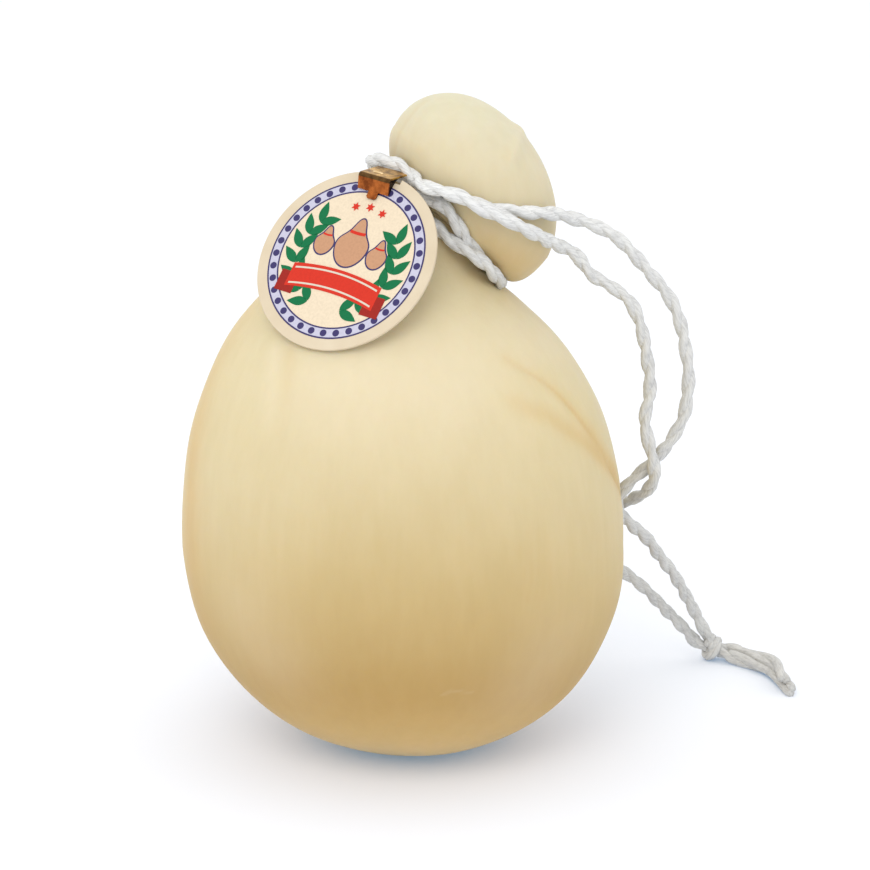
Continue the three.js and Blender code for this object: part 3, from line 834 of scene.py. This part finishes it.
def rind_relief(points):
    """Height of the creases, ridges and gentle unevenness over the plain skin."""
    total = MM * along_lines(points, CREASES)
    rng = np.random.default_rng(SEED)
    for _ in range(UNEVEN_WAVES):
        wave = unit(rng.normal(size=3)) * rng.uniform(*UNEVEN_PITCH)
        total += UNEVEN_HEIGHT * np.sin(points @ wave + rng.uniform(0, 2 * np.pi))
    return total * np.clip(points[:, 2] / FOOT_SMOOTHING, 0, 1)


def make_cheese():
    """The whole skin as one closed mesh."""
    stacks = [lower_rings(), upper_rings(), head_rings()]
    centre, right, back, radius = (np.concatenate(parts) for parts in zip(*stacks))
    outward = turned(circle(RIND_SEGMENTS), right[:, None], back[:, None])
    skin = (centre[:, None] + radius[:, None, None] * outward).reshape(-1, 3)
    crown_rise = HEAD_HEIGHT - HEAD_BULGE_AT
    crown = head_centres(np.array([HEAD_HEIGHT]), np.array([-CROWN_DRIFT * crown_rise]))
    points = np.concatenate([skin, [(FOOT_SHIFT, 0.0, 0.0)], crown])
    faces = domed_faces(len(radius), RIND_SEGMENTS)
    cheese = mesh_piece("cheese_rind", points, faces, [rind_material()])
    # Painted shade along some lines; painted light and one real scratch along others
    for name, lines in (("painted_shade", PAINTED_SHADE_LINES), ("scratch_and_painted_light", SCRATCH_AND_PAINTED_LIGHT)):
        store(cheese, name, np.clip(along_lines(points, lines), 0, 1))
    normals = np.zeros(len(points) * 3, dtype=np.float32)
    cheese.data.vertex_normals.foreach_get("vector", normals)
    points = points + rind_relief(points)[:, None] * normals.reshape(-1, 3)
    cheese.data.vertices.foreach_set("co", points.astype(np.float32).ravel())
    cheese.data.update()
    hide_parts("cheese")


# The twine

def twisted(path, phase, rng, lay=TWINE_LAY, offset=PLY_OFFSET):
    """Two plies along an even path: middle line, turning angle, radius and run of each."""
    run = run_lengths(path)
    across, above = path_frames(path)
    wander = TWIST_WANDER * smooth_noise(rng, run, WANDER_LENGTH)
    plies = []
    for ply in range(2):
        turn = 2 * np.pi * run / lay + np.pi * ply + phase + wander
        lumps = 1 + TWINE_LUMPS * smooth_noise(rng, run, LUMP_LENGTH)
        spread = offset * (1 + TWINE_LUMPS * smooth_noise(rng, run, SPREAD_LENGTH))
        middle = path + spread[:, None] * turned(turn, across, above)
        plies.append((middle, turn, PLY_RADIUS * lumps, run))
    return plies


def ply_mesh(plies, first=0, last=None, end=ROUND_END):
    """Vertices, faces and run coordinates of a stretch of the plies, domed at the ends."""
    parts = []
    angle = circle(PLY_SIDES)
    for ply in plies:
        middle, turn, radius, run = (values[first:last] for values in ply)
        across, above = path_frames(middle)
        from_end = np.minimum(run - run[0], run[-1] - run) / PLY_RADIUS
        dome = np.sqrt(np.clip(1 - (1 - np.clip(from_end, 0, 1)) ** 2, end, 1))
        around = angle[None, :] + turn[:, None] * YARN_TURN
        reach = (radius * dome)[:, None] * (1 + YARN_HEIGHT * np.cos(PLY_YARNS * around))
        rim = turned(angle, across[:, None], above[:, None])
        skin = (middle[:, None] + reach[:, :, None] * rim).reshape(-1, 3)
        along = np.repeat(run / TWINE_DIAMETER, PLY_SIDES)
        ends = [(0.0, run[0] / TWINE_DIAMETER), (0.0, run[-1] / TWINE_DIAMETER)]
        uv = np.concatenate([np.stack([around.ravel() / (2 * np.pi), along], axis=1), ends])
        vertices = np.concatenate([skin, middle[[0, -1]]])
        parts.append((vertices, domed_faces(len(middle), PLY_SIDES), uv))
    return joined(parts)


def grey_low_and_neck_shade(points):
    """How grey the twine is: lightest over the head, greyer down to the table, and painted shade in the
    neck.
    """
    low = np.interp(points[:, 2], GREYING_HEIGHTS, GREYING_LEVELS)
    offset = points - NECK_CENTRE
    angle = np.degrees(np.arctan2(offset @ NECK_BACK, offset @ NECK_RIGHT)) % 360
    near = np.linalg.norm(offset, axis=1) < NECK_SHADE_REACH
    # The front right of the neck, under the head: painted shade
    in_neck = (angle > NECK_SHADE_FROM) & (offset @ HEAD_AXIS < NECK_SHADE_TOP) & near
    return np.where(in_neck, NECK_PAINTED_SHADE, low)


def twine_piece(name, mesh, material, node=None):
    """One stretch of twine as a piece, which may stand for a solid."""
    vertices, faces, uv = mesh
    piece = mesh_piece(name, vertices, faces, [material])
    layer = piece.data.uv_layers.new(name="run")
    layer.data.foreach_set("uv", uv[np.concatenate(faces)].astype(np.float32).ravel())
    store(piece, "grey_low_and_neck_shade", grey_low_and_neck_shade(vertices))
    if node:
        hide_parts(node)
    return piece


def neck_points(keys):
    """Places round the neck from their angles, heights and distances."""
    degrees, height, distance = np.array(keys, float).T
    outward = turned(np.radians(degrees), NECK_RIGHT, NECK_BACK)
    return NECK_CENTRE + MM * (height[:, None] * HEAD_AXIS + distance[:, None] * outward)


def make_twine(stretches, material, rng):
    """One twine cut into stretches (name, node, points): the last one's piece and the path it follows."""
    dense = smooth_line([point for _, _, points in stretches for point in points])
    run = run_lengths(dense)
    path = even_path(dense)
    plies = twisted(path, 0.0, rng)
    step = run[-1] / (len(path) - 1)
    ends = np.cumsum([len(points) for _, _, points in stretches])
    begin = 0
    for (name, node, _), end in zip(stretches, ends):
        finish = round(run[(end - 1) * SPAN_POINTS] / step)
        piece = twine_piece(name, ply_mesh(plies, begin, finish + 1), material, node)
        stretch = path[begin:finish + 1]
        begin = finish
    return piece, stretch


def make_bight(material, rng):
    """The bend behind the tag where the two neck turns are one twine."""
    keys = [*UPPER_TURN[1::-1], *BIGHT_TURN, *LOWER_TURN[:2]]
    path = even_path(smooth_line(neck_points(keys)))
    twine_piece("twine_bight", ply_mesh(twisted(path, BIGHT_PHASE, rng)), material)


def make_knot(material, rng):
    """The strands drawn through the knot into the tails, and the turns of twine round them."""
    arrive = (OUTER_STRAND[-1] + INNER_STRAND[-1]) / 2
    leave = (TAIL_NEAR[0] + TAIL_FAR[0]) / 2
    axis = unit(leave - arrive)
    across = unit(np.cross(axis, UP))
    above = np.cross(across, axis)
    share = np.linspace(0, 1, KNOT_POINTS)
    outward = KNOT_WRAP_RADIUS * turned(2 * np.pi * KNOT_WRAPS * share, across, above)
    wraps = KNOT_CENTRE + KNOT_LENGTH * (share - 0.5)[:, None] * axis + outward
    parts = [ply_mesh(twisted(even_path(wraps), KNOT_PHASE, rng))]
    for strand, tail, side in ((OUTER_STRAND, TAIL_FAR, 1), (INNER_STRAND, TAIL_NEAR, -1)):
        core = [*strand[-2:], KNOT_CENTRE + side * KNOT_CORE_OFFSET * above, *tail[:2]]
        parts.append(ply_mesh(twisted(even_path(smooth_line(core)), 0.0, rng)))
    return twine_piece("twine_knot", joined(parts), material, "knot")


def make_tail(name, node, line, phase, material, rng):
    """One of the two cut tails, its plies opening towards the end."""
    plies = twisted(even_path(smooth_line(line)), phase, rng, TAIL_LAY, TAIL_OFFSET)
    return twine_piece(name, ply_mesh(plies, end=CUT_END), material, node)


# Tag and print

def placed(vertices):
    """Vertices from the tag's axes into the part's frame."""
    turn = Matrix.Rotation(TAG_TURN, 4, "Z")
    lean = Matrix.Rotation(math.pi / 2 - TAG_LEAN, 4, "X")
    roll = Matrix.Rotation(TAG_ROLL, 4, "Z")
    axes = np.array(Matrix.Translation(TAG_CENTRE) @ turn @ lean @ roll)
    return np.asarray(vertices, float) @ axes[:3, :3].T + axes[:3, 3]


def tag_outline():
    """The card's rim, cut straight where the clip's roof passes over it."""
    left, right = (math.acos(x / TAG_RADIUS) for x in (TAG_NOTCH_LEFT, TAG_NOTCH_RIGHT))
    rim = polar(TAG_RADIUS, np.linspace(left, right + 2 * np.pi, TAG_SEGMENTS))
    return np.concatenate([rim, [(TAG_NOTCH_RIGHT, TAG_NOTCH_TOP), (TAG_NOTCH_LEFT, TAG_NOTCH_TOP)]])


def slab(outline, low, high):
    """Vertices and faces of a flat outline with some thickness, in the tag's axes."""
    count = len(outline)
    rings = [np.column_stack([outline, np.full(count, level)]) for level in (low, high)]
    return np.concatenate(rings), capped_faces(2, count)


def ring_slab(inner, outer, low, high):
    """Vertices and faces of a flat ring with some thickness, in the tag's axes."""
    section = [(inner, high), (outer, high), (outer, low), (inner, low)]
    angles = circle(BORDER_SEGMENTS)
    vertices = [(*polar(radius, angle), z) for angle in angles for radius, z in section]
    return np.array(vertices), ring_faces(BORDER_SEGMENTS, len(section), closed=True)


def make_tag():
    """The card itself, with softly rounded edges."""
    vertices, faces = slab(tag_outline(), -TAG_THICKNESS / 2, TAG_THICKNESS / 2)
    card = mesh_piece("tag_card", placed(vertices), faces, [card_material()], smooth=False)
    round_edges(card, TAG_EDGE)
    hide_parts("tag")


def disc_outline(x, y, radius, count):
    """A round outline."""
    return (x, y) + polar(radius, circle(count))


def leaf_outline(stalk, direction):
    """A pointed leaf from its stalk end."""
    share = np.linspace(0, 1, LEAF_POINTS)[:, None]
    half = LEAF_WIDTH / 2 * np.sin(np.pi * share**LEAF_BULGE)
    along, side = polar(1.0, direction), polar(1.0, direction + math.pi / 2)
    middle = stalk + (LEAF_STALK + share * (LEAF_LENGTH - LEAF_STALK)) * along
    return np.concatenate([middle - half * side, (middle + half * side)[-2:0:-1]])


def band_outline(left, right, low, high, arch, count=BAND_POINTS):
    """A strip that arches upwards in the middle."""
    across = np.linspace(left, right, count)
    rise = arch * (1 - (2 * (across - left) / (right - left) - 1) ** 2)
    lower, upper = (np.stack([across, level + rise], axis=1) for level in (low, high))
    return np.concatenate([lower, upper[::-1]])


def pear_outline(x, y, height, grow=0.0):
    """A hanging pear-shaped cheese, from its foot at y, grown outwards by some margin."""
    angle = np.linspace(-np.pi / 2, 1.5 * np.pi, PEAR_POINTS, endpoint=False)
    up = (1 + np.sin(angle)) / 2
    body = 1 - 1 / (1 + np.exp(-(up - PEAR_NECK_AT) * PEAR_NECK_SLOPE))
    half = PEAR_HALF_WIDTH * height * (PEAR_HEAD + (1 - PEAR_HEAD) * body) + grow
    return np.stack([x + half * np.cos(angle), y - grow + (height + 2 * grow) * up], axis=1)


def tie_outline(x, y, height):
    """The tie round the neck of a small cheese."""
    half = TIE_HALF_WIDTH * height
    return band_outline(x - half, x + half, y + TIE_LOW * height, y + TIE_HIGH * height, TIE_ARCH)


def star_outline(x, y):
    """A star with short rays."""
    corner = np.arange(2 * STAR_RAYS)
    angle = np.pi / 2 + np.pi * corner / STAR_RAYS
    reach = STAR_RADIUS * np.where(corner % 2 == 0, 1.0, STAR_HOLLOW)
    return (x, y) + polar(reach, angle)


def leaf_sprays():
    """Pairs of leaves up both sides."""
    leaves = []
    for side in (-1, 1):
        for angle in np.radians(-90 + side * (LEAF_START + LEAF_STEP * np.arange(LEAF_PAIRS))):
            stalk, forward = polar(LEAF_RING, angle), angle + side * math.pi / 2
            leaves += [leaf_outline(stalk, forward + lean) for lean in (-LEAF_LEAN, LEAF_LEAN)]
    return leaves


def print_layers():
    """Plain printed shapes, the lowest layer first: ink, rings and outlines."""
    bead_places = polar(BEAD_RING, circle(BEAD_COUNT))
    beads = [disc_outline(*place, BEAD_RADIUS, BEAD_SEGMENTS) for place in bead_places]
    pear_lines = [pear_outline(*pear, PEAR_LINE) for pear in PEARS]
    ribbon = band_outline(*RIBBON, RIBBON_ARCH)
    stars = [star_outline(*star) for star in STARS]
    ties = [tie_outline(*pear) for pear in PEARS]
    return [
        ("cream", [], [disc_outline(0.0, 0.0, FIELD_RADIUS, BORDER_SEGMENTS)]),
        ("lilac", [(FIELD_RADIUS, BORDER_RADIUS)], []),
        ("violet", BORDER_LINES, [*beads, *pear_lines]),
        ("green", [], leaf_sprays()),
        ("tan", [], [pear_outline(*pear) for pear in PEARS]),
        ("dark_red", [], [band_outline(*tail, 0.0, 2) for tail in RIBBON_TAILS]),
        ("red", [], [ribbon, *stars, *ties]),
        ("pale", [], [band_outline(*stripe, RIBBON_ARCH) for stripe in RIBBON_STRIPES]),
    ]


def make_print():
    """The printed face: a ring of beads, leaf sprays, small cheeses, a ribbon and stars."""
    face = TAG_THICKNESS / 2
    for order, (name, rings, outlines) in enumerate(print_layers()):
        top = face + INK_HEIGHT * (1 + order)
        shapes = [ring_slab(inner * MM, outer * MM, face, top) for inner, outer in rings]
        shapes += [slab(outline * MM, face, top) for outline in outlines]
        vertices, faces = joined(shapes)
        mesh_piece("tag_ink_" + name, placed(vertices), faces, [ink_material(name)], smooth=False)


# Clip

def seated(points):
    """Points from the clip's own axes into the tag's."""
    cos, sin = math.cos(CLIP_TILT), math.sin(CLIP_TILT)
    x, y, z = np.asarray(points, float).T
    return np.stack([x, y * cos - z * sin, y * sin + z * cos], axis=1) + CLIP_SEAT


def clip_profile():
    """The sheet's middle line in the clip's axes, (up, out): plate, bend and roof."""
    top = CLIP_HEIGHT - CLIP_SHEET / 2
    line = [(share * (top - CLIP_BEND), 0.0) for share in np.linspace(0, 1, PLATE_ROWS)]
    for share in np.linspace(1 / BEND_ROWS, 1, BEND_ROWS):
        angle = share * (math.pi / 2 + CLIP_ROOF_PITCH)
        line.append((top - CLIP_BEND * (1 - math.sin(angle)), -CLIP_BEND * (1 - math.cos(angle))))
    reach = CLIP_ROOF_DEPTH - CLIP_BEND - CLIP_SHEET / 2
    up, out = line[-1]
    for share in ROOF_ROWS:
        line.append((up - share * reach * math.tan(CLIP_ROOF_PITCH), out - share * reach))
    return np.array(line)


def clip_sheet():
    """Vertices and faces of the bent sheet, swept from left to right."""
    line = clip_profile()
    tangent = unit(np.gradient(line, axis=0))
    normal = np.stack([-tangent[:, 1], tangent[:, 0]], axis=1)
    outer, inner = line + normal * CLIP_SHEET / 2, line - normal * CLIP_SHEET / 2
    outline = np.concatenate([inner, outer[::-1]])
    count = len(outline)
    stations = np.linspace(0.0, CLIP_WIDTH, CLIP_STATIONS)
    faces = ring_faces(CLIP_STATIONS, count)
    for station, flip in ((0, True), (CLIP_STATIONS - 1, False)):
        base = station * count
        for i in range(len(line) - 1):
            quad = (base + i, base + i + 1, base + count - 2 - i, base + count - 1 - i)
            faces.append(quad[::-1] if flip else quad)
    return seated([(across, up, out) for across in stations for up, out in outline]), faces


def clip_tongue():
    """Vertices and faces of the tongue below the plate."""
    left, right, low, high = TONGUE
    cut, front = TONGUE_CORNER, CLIP_SEAT[2]
    outline = np.array([
        (left, high), (left, low + cut), (left + cut, low),
        (right - cut, low), (right, low + cut), (right, high),
    ])
    return slab(outline, front - CLIP_SHEET / 2, front + CLIP_SHEET / 2)


def make_clip():
    """The bent brass sheet and its tongue in copies of one brass: a coppery painted reflection in front,
    painted shade at the bend and a lit golden tone on top.
    """
    sheet = clip_sheet()
    vertices, faces = joined([sheet, clip_tongue()])
    materials = [brass_material(name) for name in ("brass_front_painted_reflection", "brass", "brass_bend_shadow_tone")]
    clip = mesh_piece("clip_brass", placed(vertices), faces, materials, smooth=False)
    sheet_count, count = len(sheet[0]), 2 * len(clip_profile())
    # Roof rows get the lit brass, the bend the painted shade, the rest keeps the painted reflection
    for polygon in clip.data.polygons:
        rows = [min(v % count, count - 1 - v % count) for v in polygon.vertices if v < sheet_count]
        if rows and min(rows) >= PLATE_ROWS + BEND_ROWS - 2:
            polygon.material_index = 1
        elif rows and min(rows) >= PLATE_ROWS - 1:
            polygon.material_index = 2
    round_edges(clip, CLIP_EDGE)
    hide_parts("clip")


def make_rib():
    """A low rib pressed into the clip's roof, on the roof's first row, in bright brass: a painted
    highlight.
    """
    up, out = clip_profile()[PLATE_ROWS + BEND_ROWS]
    base = up + CLIP_SHEET / 2 - RIB_SINK
    vertices = []
    for share in np.linspace(-1, 1, RIB_STATIONS):
        across = RIB_MIDDLE + share * RIB_HALF_LENGTH
        scale = math.sqrt(max(RIB_END, 1 - share**4))
        for x, y in scale * polar(1.0, np.linspace(np.pi, 0, RIB_SIDES)):
            vertices.append((across, base + RIB_RISE * y, out + RIB_HALF_WIDTH * x))
    faces = capped_faces(RIB_STATIONS, RIB_SIDES)
    mesh_piece("clip_rib", placed(seated(vertices)), faces, [brass_material("brass_painted_highlight")])


def make_painted_shadow():
    """A near-black sheet at the clip's right end between plate, roof and card: painted shadow for the
    shaded inside of the clip.
    """
    across = CLIP_SEAT[0] + CLIP_WIDTH - SHADE_SHEET_INSET
    up = CLIP_HEIGHT - CLIP_SHEET
    corners = seated([
        (0.0, up, -SHADE_SHEET_DEPTH), (0.0, up, -CLIP_SHEET / 2), (0.0, SHADE_SHEET_LIFT, -CLIP_SHEET / 2),
    ])[:, 1:]
    card = TAG_THICKNESS / 2
    outline = [(corners[-1][0], card), (min(corners[0][0], TAG_NOTCH_TOP), card), *corners]
    vertices = [(x, y, z) for x in (across - CLIP_SHEET, across) for y, z in outline]
    faces = capped_faces(2, len(outline))
    material = brass_material("painted_shadow_sheet")
    mesh_piece("clip_painted_shadow", placed(vertices), faces, [material], smooth=False)


# Stage

def make_camera():
    """The camera at the photograph's angle."""
    camera = add_object("camera", bpy.data.cameras.new("camera"))
    camera.data.lens = CAMERA_LENS
    camera.data.sensor_width = CAMERA_SENSOR
    camera.data.clip_start = CAMERA_NEAR
    camera.data.clip_end = CAMERA_FAR
    back = Vector((0.0, -math.cos(CAMERA_ELEVATION), math.sin(CAMERA_ELEVATION)))
    camera.location = CAMERA_TARGET + CAMERA_DISTANCE * back
    camera.rotation_euler = (-back).to_track_quat("-Z", "Y").to_euler()
    bpy.context.scene.camera = camera


def make_floor():
    """A plain pale floor that glows faintly though it is no lamp: painted light that lightens and cools
    its shadows.
    """
    mesh = bpy.data.meshes.new("floor")
    corners = FLOOR_REACH * np.array([(-1, -1, 0), (1, -1, 0), (1, 1, 0), (-1, 1, 0)])
    mesh.from_pydata(corners.tolist(), [], [(0, 1, 2, 3)])
    floor = add_object("floor", mesh)
    mesh.materials.append(Graph("floor").surface({
        "Base Color": FLOOR_COLOUR,
        "Emission Color": FLOOR_PAINTED_GLOW,
        "Emission Strength": 1.0,
        "Roughness": FLOOR_ROUGHNESS,
    }))


def make_light():
    """Even white light all round, and one large soft light up in front."""
    world = bpy.data.worlds.new("studio")
    world.use_nodes = True
    backdrop = world.node_tree.nodes["Background"]
    backdrop.inputs["Color"].default_value = (*WHITE, 1.0)
    backdrop.inputs["Strength"].default_value = WORLD_STRENGTH
    bpy.context.scene.world = world
    key = add_object("key", bpy.data.lights.new("key", "AREA"))
    key.data.shape = "SQUARE"
    key.data.size = KEY_SIZE
    key.data.energy = KEY_POWER
    key.location = KEY_PLACE
    key.rotation_euler = (Vector(KEY_TARGET) - Vector(KEY_PLACE)).to_track_quat("-Z", "Y").to_euler()
    bpy.context.scene.view_settings.view_transform = "Standard"


def make_twines():
    """The neck turns, the free strands, the knot and the tails."""
    rng = np.random.default_rng(SEED)
    twine = twine_material()
    inner, inner_path = make_twine([
        ("twine_turn_upper", "neck_turn_upper", neck_points(UPPER_TURN)),
        ("twine_inner", "strand_inner", INNER_STRAND),
    ], twine, rng)
    outer, outer_path = make_twine([
        ("twine_turn_lower", "neck_turn_lower", neck_points(LOWER_TURN)),
        ("twine_lead", None, [*neck_points(LEAD_TURN), OUTER_STRAND[0]]),
        ("twine_outer", "strand_outer", OUTER_STRAND[1:]),
    ], twine, rng)
    make_bight(twine, rng)
    knot = make_knot(twine, rng)
    tail_near = make_tail("twine_tail_near", "tail_near", TAIL_NEAR, TAIL_PHASE, twine, rng)
    tail_far = make_tail("twine_tail_far", "tail_far", TAIL_FAR, -TAIL_PHASE, twine, rng)


def main():
    """Builds every piece, the camera and the stage."""
    make_camera()
    make_twines()
    make_cheese()
    make_tag()
    make_print()
    make_clip()
    make_rib()
    make_painted_shadow()
    make_floor()
    make_light()


main()
